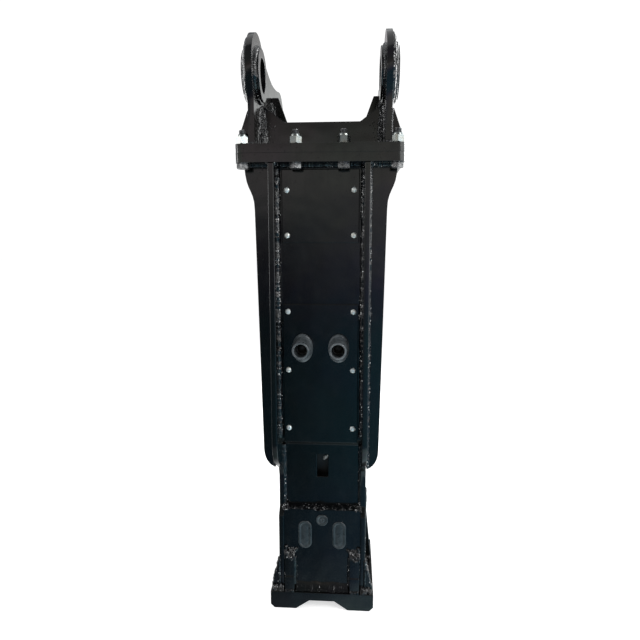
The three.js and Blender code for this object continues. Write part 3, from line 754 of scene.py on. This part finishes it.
def bracket_welds():
    """Beads of the bracket: ears, cross plates, doublers, bosses and gussets on the flange."""
    beads, rounds = Bead(700, step=1.1), Bead(900, step=1.1)
    floor = high("bracket_flange").z
    front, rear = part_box("front_cross_plate"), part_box("rear_cross_plate")
    for name, s in SIDES:
        inner, outer = flanks(f"ear_{name}", s)
        into, away = -X * s, X * s
        for (lo, hi), short, legs in ((front, 0.004, (15.0, 24.0)), (rear, 0.012, (18.0, 18.0))):
            beads.column([at(inner, lo.y, floor), at(inner, lo.y, hi.z - short)], into, -Y, *legs, 4)
        for depth, rise in ((0.030, 0.115), (0.048, 0.085), (0.064, 0.050)):
            place = at(inner, front[0].y - depth, floor)
            beads.ridge([place, place + Z * rise], Y, into, 13.0, 3.6, pitch=6.5, ripple=1.1, lump=1.3,
                        ragged=0.3, taper=[(0, 1.2), (1, 0.5)])
        drops = at(inner, front[0].y - 0.052, floor)
        beads.spatter([drops, drops + Z * 0.150], into, 32, 60, 1.6)
        drops = at(inner - 0.025 * s, front[0].y, floor)
        beads.spatter([drops, drops + Z * 0.080], -Y, 12, 36, 1.4)
        for (_, hi), leg in ((front, 10.0), (rear, 11.0)):
            beads.seam((inner, hi.y, floor), (inner, hi.y, hi.z - 0.012), into, Y, leg)
        beads.seam((inner, front[0].y - 0.110, floor), (inner, front[0].y, floor), into, Z, 10.0, 11.0,
                   lump=0.6)
        for start, end in ((front[1].y, rear[0].y), (rear[1].y, rear[1].y + 0.120)):
            beads.seam((inner, start, floor), (inner, end, floor), into, Z, 10.0)
        gusset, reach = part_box(f"ear_gusset_{name}"), flanks(f"ear_gusset_{name}", s)[1]
        beads.seam((outer, gusset[1].y, floor), (outer, rear[1].y + 0.068, floor), away, Z, 9.0, 10.0)
        edge = low(f"ear_{name}").y + 0.014
        beads.seam((inner, edge, floor), (outer, edge, floor), Z, -Y, 8.0)
        for y, out in ((gusset[0].y, -Y), (gusset[1].y, Y)):
            beads.seam((outer, y, floor), (outer, y, gusset[1].z), away, out, 6.0, lump=0.6)
            beads.seam((outer, y, floor), (reach, y, floor), Z, out, 5.5)
        seat, skin = flanks(f"ear_doubler_{name}", s)
        loop = outline_of(f"ear_doubler_{name}", seat)
        normals = outward(loop)
        rounds.fillet(loop + loop[:1], normals + normals[:1], away, 9.0, 8.0, closed=True, lump=0.7,
                      ragged=0.14)
        for boss in (f"front_pin_boss_{name}", f"rear_pin_boss_{name}"):
            lo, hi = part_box(boss)
            hub = (lo.y + hi.y) / 2, (lo.z + hi.z) / 2, (hi.y - lo.y) / 2
            stands = (abs(inner) - abs(flanks(boss, s)[0])) / MM
            rounds.ring(inner, *hub, into, 7.0, min(7.0, stands * 0.8), lump=0.5)
            rounds.ring(skin, *hub, away, 8.0, 7.0, lump=0.6)
    for lo, hi in (front, rear):
        half = hi.x - 0.012
        for y, out, leg in ((lo.y, -Y, 8.0), (hi.y, Y, 9.0)):
            beads.seam((-half, y, floor), (half, y, floor), Z, out, leg)
    beads.finish("weld_bracket")
    rounds.finish("weld_doublers", CALM_WELD)


# ---- fasteners


def ring_at(place, axes, radius, height, count, turn=0.0):
    """Points round an axis; radius is a number or a function of the angle, and so is height."""
    u, v, w = axes
    points = []
    for i in range(count):
        angle = 2 * pi * i / count
        r = radius(angle) if callable(radius) else radius
        h = height(angle) if callable(height) else height
        points.append(place + (u * cos(angle + turn) + v * sin(angle + turn)) * r + w * h)
    return points


def hexagon(flats):
    """The radius of a hexagon at an angle, for its width across the flats."""
    def radius(angle):
        return flats / 2 / cos((angle % (pi / 3)) - pi / 6)
    return radius


UPRIGHT = (X, Y, Z)
DOWNWARD = (X, -Y, -Z)
FRONTWARD = (X, Z, -Y)
HEX_STEPS = 48
M20_FLATS = 30 * MM
M20_RADIUS, M20_PITCH, M20_GROOVE = 10.0, 2.5, 1.15  # mm
NUT_TURNS = (0.0, 12.0, 30.0, 0.0)  # degrees, from left to right

# Profiles as (radius, height) in mm.
WASHER = [(11, 0.0), (15.0, 0.0), (15.5, 0.5), (15.5, 2.4), (15.0, 3.0), (11, 3.0)]
NUT_COLLAR = [(13.4, 19.5), (13.4, 22.0), (13.2, 25.0), (12.5, 26.4), (11.6, 27.0), (10.6, 26.8),
              (10.3, 25.6)]
HEAD_WASHER_FACE = [(14.2, -0.1), (14.2, 1.0), (10.0, 1.0)]
HEAD_DISH = [(10.5, 12.7), (10.3, 13.0), (9.8, 12.6), (9.6, 12.5), (2.0, 12.5)]
SCREW_HEAD = [(7.6, -0.3), (7.8, 0.5), (7.4, 1.3), (6.9, 2.3), (6.0, 3.3), (4.9, 4.0), (3.9, 4.3)]
FITTING_NECK = [(4.0, 8.5), (4.0, 13.0), (2.6, 14.5), (2.4, 20.0), (3.1, 21.0), (3.3, 23.0), (2.6, 25.0),
                (1.0, 25.8)]


def hex_body(builder, place, axes, flats, base, top, turn, chamfer_base=True):
    """The six sides of a nut or head, with the corners turned off at its ends."""
    radius = hexagon(flats)
    round_end = flats / 2 * 0.97
    slope = tan(radians(30))

    def upper(angle):
        return top - (radius(angle) - round_end) * slope

    def lower(angle):
        return base + (radius(angle) - round_end) * slope * chamfer_base

    sides = ((round_end * 0.98, base), (radius, lower), (radius, upper), (round_end, top))
    builder.tube([ring_at(place, axes, r, h, HEX_STEPS, turn) for r, h in sides])


def lathe(builder, place, axes, profile, count=32, turn=0.0):
    """A body turned about an axis; the profile is a list of (radius, height) in mm."""
    builder.tube([ring_at(place, axes, r * MM, h * MM, count, turn) for r, h in profile])


def thread(builder, place, base, top):
    """The threaded end of an M20 bolt: a helical groove, with a turned-down tip; heights in mm."""
    rings = []
    steps = int((top - base) / (M20_PITCH / 6))
    for i in range(steps + 1):
        z = base + (top - base) * i / steps
        tip = max(0.0, z - (top - 1.6)) * 0.9

        def shape(angle, z=z, tip=tip):
            wave = abs(2 * ((z / M20_PITCH - angle / (2 * pi)) % 1.0) - 1)
            return (M20_RADIUS - M20_GROOVE * wave - tip) * MM
        rings.append(ring_at(place, UPRIGHT, shape, z * MM, 24))
    builder.tube(rings)


def flange_bolts():
    """Bolt, washer and lock nut at each of the eight places in the flanges."""
    joint_top, joint_bottom = high("bracket_flange").z, low("housing_flange").z
    rng = np.random.default_rng(41)
    for row in ("front", "rear"):
        for i, turn in enumerate(NUT_TURNS, 1):
            node = f"flange_bolt_{row}_{i}"
            lo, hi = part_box(node)
            place = at((lo.x + hi.x) / 2, (lo.y + hi.y) / 2, joint_top)
            nut = Builder()
            lathe(nut, place, UPRIGHT, WASHER)
            hex_body(nut, place, UPRIGHT, M20_FLATS, 3.0 * MM, 21.0 * MM, radians(turn) + pi / 6)
            lathe(nut, place, UPRIGHT, NUT_COLLAR)
            piece = nut.piece(f"lock_nut_{row}_{i}", [ZINC], "zinc_plate", sharp=28.0)
            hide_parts(node)
            stud = Builder()
            thread(stud, place, 22.0, (hi.z - joint_top) / MM)
            under = at(place.x, place.y, joint_bottom)
            turn = rng.uniform(-0.1, 0.1) + pi / 6
            hex_body(stud, under, DOWNWARD, M20_FLATS, 0.6 * MM, 12.9 * MM, turn, chamfer_base=False)
            lathe(stud, under, DOWNWARD, HEAD_WASHER_FACE)
            lathe(stud, under, DOWNWARD, HEAD_DISH)
            piece = stud.piece(f"bolt_{row}_{i}", [BLACK_PATCHED_ZINC], "zinc_plate", sharp=28.0)
            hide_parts(node)


def cover_screws():
    """Button-head socket screws at the corners and sides of the two covers."""
    rng = np.random.default_rng(7)
    upper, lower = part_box("upper_cover"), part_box("lower_cover")
    reach = upper[1].x - 14 * MM
    # From the top and bottom edges of the covers.
    heights = (upper[1].z - 54 * MM, upper[0].z + 20 * MM,
               lower[1].z - 21 * MM, lower[0].z + 212 * MM, lower[0].z + 43 * MM)
    for i, z in enumerate(heights, 1):
        for name, s in SIDES:
            place = at(reach * s, upper[0].y, z)
            turn = rng.uniform(0, pi / 3)
            head = Builder()
            lathe(head, place, FRONTWARD, SCREW_HEAD, turn=turn)
            socket = ((3.9 * MM, 4.3), (hexagon(5.6 * MM), 4.1), (hexagon(5.4 * MM), 1.4))
            rings = [ring_at(place, FRONTWARD, radius, h * MM, HEX_STEPS, turn) for radius, h in socket]
            # The socket is lined with the painted hole shade.
            head.tube(rings, cap_start=False, kind=1)
            head.piece(f"cover_screw_{i}_{name}", [LIT_ZINC, HOLE_SHADE], "zinc_plate", sharp=32.0)


def grease_fitting():
    """A slanted grease fitting on the cylinder block, seen through the slot of the lower front plate."""
    corner = low("cylinder")
    place = at(0.0062, corner.y + 0.022, corner.z + 0.105)
    aim = at(0.50, -0.60, 0.62).normalized()
    side = aim.cross(Z).normalized()
    axes = (side, aim.cross(side), aim)
    body = Builder()
    hex_body(body, place, axes, 10.0 * MM, -8.0 * MM, 9.0 * MM, 0.2)
    lathe(body, place, axes, FITTING_NECK)
    body.piece("grease_fitting", [LIT_ZINC], "zinc_plate")


# ---- rubber parts


def oval_ring(centre, half_width, half_height, out):
    """An oval in the plane of the covers, a distance in front of it, in mm."""
    return [centre + at(cos(a) * half_width * MM, -out * MM, sin(a) * half_height * MM)
            for a in [2 * pi * i / 64 for i in range(64)]]


BOOT_LIFT = 4.0  # mm, how much higher the mouth sits than the lip
# Profiles as (distance out, radius) in mm.
BOOT_INSIDE = [
    (61.8, 18.8), (60.8, 18.0), (59.0, 17.6), (52.0, 17.4), (40.0, 17.2), (26.0, 16.6), (12.0, 15.5),
]
BOOT_BOTTOM = [(12.0, 15.5), (11.0, 12.5), (12.5, 11.0), (12.5, 0.4)]


def hose_boots():
    """Hollow rubber boots: an oval lip on the cover, a tapering neck and a thick round mouth."""
    for name, _ in SIDES:
        lo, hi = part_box(f"hose_boot_{name}")
        centre = middle(f"hose_boot_{name}", hi.y)
        a, b, reach = (hi.x - lo.x) / 2 / MM, (hi.z - lo.z) / 2 / MM, (hi.y - lo.y) / MM
        # As (distance out, half width, half height) in mm.
        outside = [
            (-0.5, a - 2.4, b - 0.6), (0.6, a - 1.9, b - 0.1), (4.0, a - 1.8, b), (7.6, a - 2.2, b - 0.4),
            (9.4, a - 3.4, b - 1.8), (10.4, a - 4.4, b - 3.4), (11.2, a - 4.8, b - 5.0),
            (14.0, a - 5.0, b - 7.0), (18.0, a - 5.2, b - 9.4), (24.0, a - 5.6, b - 11.8),
            (32.0, 24.6, 25.6), (36.0, 24.2, 25.0), (36.9, 23.5, 24.3), (38.3, 23.5, 24.3),
            (39.2, 24.1, 24.8), (46.0, 23.8, 24.2), (46.9, 23.1, 23.5), (48.3, 23.1, 23.5),
            (49.2, 23.7, 24.0), (53.0, 23.9, 24.0), (57.5, 23.9, 23.9), (60.0, 23.0, 23.0),
            (61.4, 21.6, 21.6), (reach, 19.8, 19.8),
        ]
        skin = Builder()
        rings = [oval_ring(centre + Z * (BOOT_LIFT * MM * max(0.0, out - 10.0) / reach), u, v, out)
                 for out, u, v in outside + [(out, r, r) for out, r in BOOT_INSIDE]]
        skin.tube(rings, cap_start=False, cap_end=False)
        # The boot's floor inside takes the painted hole shade.
        skin.tube([oval_ring(centre, r, r, out) for out, r in BOOT_BOTTOM], cap_start=False, kind=1)
        piece = skin.piece(f"rubber_boot_{name}", [LIT_BOOT_RUBBER, HOLE_SHADE], "black_rubber", sharp=60.0)
        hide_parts(f"hose_boot_{name}")


def stadium_ring(centre, width, height, inset, out):
    """A ring with straight sides and round ends, in the plane of the nose plate, in mm."""
    radius = width / 2 - inset
    straight = (height - width) / 2
    points = []
    for i in range(50):
        upper = i < 25
        angle = pi * (i if upper else i - 1) / 24
        rise = (straight if upper else -straight) + radius * sin(angle)
        points.append(centre + at(radius * cos(angle) * MM, -out * MM, rise * MM))
    return points


# How far inside the plug's edge in mm, and the share of its height.
OVAL_PLUG = [
    (-1.1, 0.25), (-0.4, 0.60), (1.2, 0.88), (3.2, 1.0), (4.6, 0.92), (5.6, 0.60), (6.6, 0.42), (9.0, 0.40),
    (12.0, 0.52), (15.0, 0.60), (18.6, 0.62),
]
ROUND_PLUG = [(-0.8, 0.0), (-0.9, 0.4), (0.0, 0.85), (1.8, 1.0), (4.2, 0.95), (5.4, 0.45), (7.6, 0.35)]
# The knob in the middle of the round plug, as its radius in mm and the share of the height.
ROUND_PLUG_KNOB = [(6.6, 0.40), (5.6, 0.9), (4.2, 0.98), (3.0, 0.5), (0.3, 0.4)]


def plug_size(node, face):
    """Centre on the face, and width, height, how far proud and how deep, in mm."""
    lo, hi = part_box(node)
    size = (hi.x - lo.x) / MM, (hi.z - lo.z) / MM, (face - lo.y) / MM, (hi.y - face) / MM
    return middle(node, face), *size


def nose_plugs():
    """Oval plugs over the retaining pins and a round plug above them, each with a soft rolled rim."""
    face = low("nose_front_plate").y
    for name, _ in SIDES:
        centre, width, height, proud, depth = plug_size(f"pin_plug_{name}", face)
        steps = [(0.2, -depth), (0.2, -0.4), (-0.9, 0.0)]
        steps += [(inset, proud * share) for inset, share in OVAL_PLUG]
        skin = Builder()
        skin.tube([stadium_ring(centre, width, height, inset, out) for inset, out in steps])
        piece = skin.piece(f"oval_plug_{name}", [RUBBER], "black_rubber", f"pin_{name}_body", 60.0)
        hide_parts(f"pin_plug_{name}")
    centre, width, _, proud, depth = plug_size("stop_pin_plug", face)
    radius = width / 2
    profile = [(radius - 0.2, -depth), (radius - 0.2, -0.4)]
    profile += [(radius - inset, proud * share) for inset, share in ROUND_PLUG]
    profile += [(r, proud * share) for r, share in ROUND_PLUG_KNOB]
    skin = Builder()
    lathe(skin, centre, FRONTWARD, profile, count=56)
    piece = skin.piece("round_plug", [RUBBER], "black_rubber", sharp=60.0)
    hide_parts("stop_pin_plug")


# ---- stage, light and camera


FLOOR_HALF, FLOOR_GLOW = 30.0, 0.62


def make_floor():
    """A plain pale floor."""
    def pale(look, place):
        speck = look.noise(place, 1.4)
        look.base(look.blend(speck, (0.90, 0.90, 0.90), (0.93, 0.93, 0.93)))
        look.rough(look.spread(speck, 0.3, 0.7, 0.75, 0.85))
        look.specular(0.1)
        look.feed("Emission Color", (1, 1, 1))
        look.feed("Emission Strength", FLOOR_GLOW)

    mesh = bpy.data.meshes.new("floor")
    corners = [(x * FLOOR_HALF, y * FLOOR_HALF, 0) for x, y in ((-1, -1), (1, -1), (1, 1), (-1, 1))]
    mesh.from_pydata(corners, [], [(0, 1, 2, 3)])
    mesh.materials.append(material("pale_floor", pale))
    floor = bpy.data.objects.new("floor", mesh)
    bpy.context.scene.collection.objects.link(floor)
    floor.visible_glossy = False


BACKDROP, FILL = (1.1, 1.1, 1.1), (0.42, 0.42, 0.42)


def make_world():
    """White surroundings, with a darker, slightly mottled set for the gloss to reflect."""
    world = bpy.data.worlds.new("studio")
    world.use_nodes = True
    bpy.context.scene.world = world
    graph = Graph(world.node_tree)
    way = graph.add("ShaderNodeTexCoord").outputs["Generated"]
    split = graph.add("ShaderNodeSeparateXYZ", {"Vector": way})
    rise = graph.spread(split.outputs["Z"], -1.0, 1.0)
    sky = graph.ramp(rise, [
        (0.180, (0.420, 0.580, 0.620)),
        (0.200, (0.280, 0.400, 0.450)),
        (0.222, (0.050, 0.145, 0.205)),
        (0.34, (0.060, 0.180, 0.250)),
        (0.40, (0.050, 0.170, 0.225)),
        (0.455, (0.130, 0.140, 0.240)),
        (0.52, (0.360, 0.395, 0.390)),
        (0.555, (0.740, 0.760, 0.710)),
        (0.585, (0.720, 0.710, 0.650)),
        (0.615, (0.340, 0.310, 0.280)),
        (0.72, (0.220, 0.230, 0.240)),
        (1.00, (0.130, 0.140, 0.150)),
    ])
    patch = graph.ramp(graph.noise(way, 4.2, 2.0, 0.5), [
        (0.34, (0.72, 0.94, 0.92)),
        (0.50, (1.00, 1.02, 1.00)),
        (0.66, (1.12, 0.90, 1.12)),
    ])
    mottled = graph.blend(0.8, sky, patch, "MULTIPLY")
    sideways = graph.spread(split.outputs["X"], -0.13, 0.15, 0.45, 2.5)
    level = graph.spread(rise, 0.48, 0.54)
    evened = graph.add("ShaderNodeMix", {0: level, 2: sideways, 3: 1.0}, data_type="FLOAT").outputs[0]
    mottled = graph.add("ShaderNodeVectorMath", {0: mottled}, operation="SCALE")
    graph.put(mottled.inputs["Scale"], evened)
    behind = graph.maths("MULTIPLY", graph.spread(split.outputs["Y"], -0.05, 0.65),
                         graph.spread(rise, 0.60, 0.70, 1.0, 0.08))
    shade = graph.blend(behind, mottled.outputs["Vector"], (0.86, 0.88, 0.88))
    clouds = graph.noise(way, 3.4, 3.0, 0.6)
    height = graph.spread(rise, 0.34, 0.46)
    for start, end, glow in ((0.36, 0.50, (2.9, 3.0, 3.0)), (-0.40, -0.54, (1.25, 1.30, 1.35))):
        aside = graph.maths("MULTIPLY", graph.spread(split.outputs["X"], start, end), height)
        shade = graph.blend(graph.maths("MULTIPLY", aside, graph.spread(clouds, 0.44, 0.56)), shade, glow)
    rays = graph.add("ShaderNodeLightPath").outputs
    plain = graph.blend(rays["Is Camera Ray"], FILL, BACKDROP)
    seen = graph.blend(rays["Is Glossy Ray"], plain, shade)
    around = graph.add("ShaderNodeBackground", {"Color": seen})
    out = graph.add("ShaderNodeOutputWorld")
    graph.tree.links.new(around.outputs[0], out.inputs["Surface"])


# Name, place, width and height in metres, and power in watts.
LIGHTS = [
    ("key", (2.1, -1.9, 2.5), (0.7, 1.0), 34.0),
    ("left", (-2.3, -1.1, 1.9), (0.5, 1.4), 15.0),
    ("above", (0.2, 0.2, 3.6), (2.6, 2.6), 15.0),
    ("back_right", (1.7, 2.0, 2.2), (1.6, 2.2), 36.0),
    ("back_left", (-2.0, 1.9, 1.6), (1.6, 2.2), 32.0),
]


def make_lights():
    """Soft boxes round the object, all aimed at its middle."""
    aim = (cad_bounds[0] + cad_bounds[1]) / 2
    for name, place, size, power in LIGHTS:
        light = bpy.data.lights.new(name, "AREA")
        light.shape = "RECTANGLE"
        light.size, light.size_y = size
        light.energy = power
        lamp = bpy.data.objects.new(name, light)
        lamp.location = place
        lamp.rotation_mode = "QUATERNION"
        lamp.rotation_quaternion = (aim - Vector(place)).to_track_quat("-Z", "Y")
        bpy.context.scene.collection.objects.link(lamp)


CAMERA_PLACE = (0.0909, -1.6648, 1.1189)
CAMERA_TURN = (3.72, 8.60, -0.09)  # degrees to the left, down and round
LENS = 29.48  # mm, on a sensor 36 mm wide


def make_camera():
    """Stands at chest height in front of the hammer, a little to its right, and looks slightly down."""
    yaw, pitch, roll = (radians(turn) for turn in CAMERA_TURN)
    ahead = at(-sin(yaw) * cos(pitch), cos(yaw) * cos(pitch), -sin(pitch))
    right = at(cos(yaw), sin(yaw), 0.0)
    up = right.cross(ahead)
    right, up = (right * cos(roll) + up * sin(roll), up * cos(roll) - right * sin(roll))
    data = bpy.data.cameras.new("camera")
    data.sensor_width = 36.0
    data.lens = LENS
    data.clip_start, data.clip_end = 0.05, 100.0
    camera = bpy.data.objects.new("camera", data)
    camera.matrix_world = Matrix.Translation(CAMERA_PLACE) @ Matrix((right, up, -ahead)).transposed().to_4x4()
    bpy.context.scene.collection.objects.link(camera)
    bpy.context.scene.camera = camera


bpy.context.scene.view_settings.view_transform = "Standard"
make_camera()
make_world()
make_lights()
make_floor()
dress_cad_nodes()
housing_welds()
nose_welds()
bracket_welds()
flange_bolts()
cover_screws()
grease_fitting()
hose_boots()
nose_plugs()
